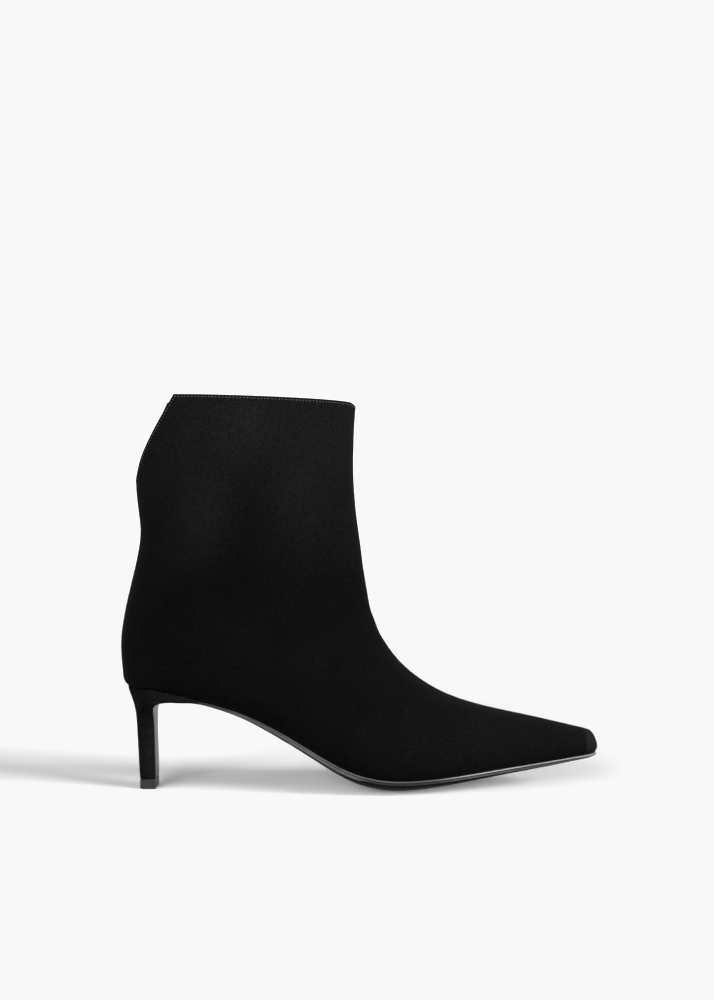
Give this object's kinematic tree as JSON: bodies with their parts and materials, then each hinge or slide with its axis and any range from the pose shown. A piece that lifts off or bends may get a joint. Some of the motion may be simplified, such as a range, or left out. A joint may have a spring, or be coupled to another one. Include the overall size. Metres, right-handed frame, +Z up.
{
  "type": "ankle boot",
  "caption": "Black suede ankle boot for the right foot, with a pointed toe, a slim covered heel, a thin sole and a collar that is notched at the back.",
  "frame": {"origin": "on the floor, under the middle of the boot's box", "axes": "+X from the heel to the toe, +Y towards the inner side of the foot, +Z up"},
  "size_m": [0.2605, 0.0772, 0.2115],
  "materials": {
    "suede": "matte black suede with a fine nap",
    "sole": "smooth black sole leather, satin edge",
    "breast": "smooth satin black cover",
    "tip": "moulded black plastic",
    "sock": "smooth black lining leather",
    "thread": "dark grey sewing thread"
  },
  "bodies": {
    "root": {"upper": "suede", "heel": "suede", "outsole": "sole", "heel_breast": "breast", "heel_tip": "tip", "insole": "sock"}
  },
  "joints": []
}
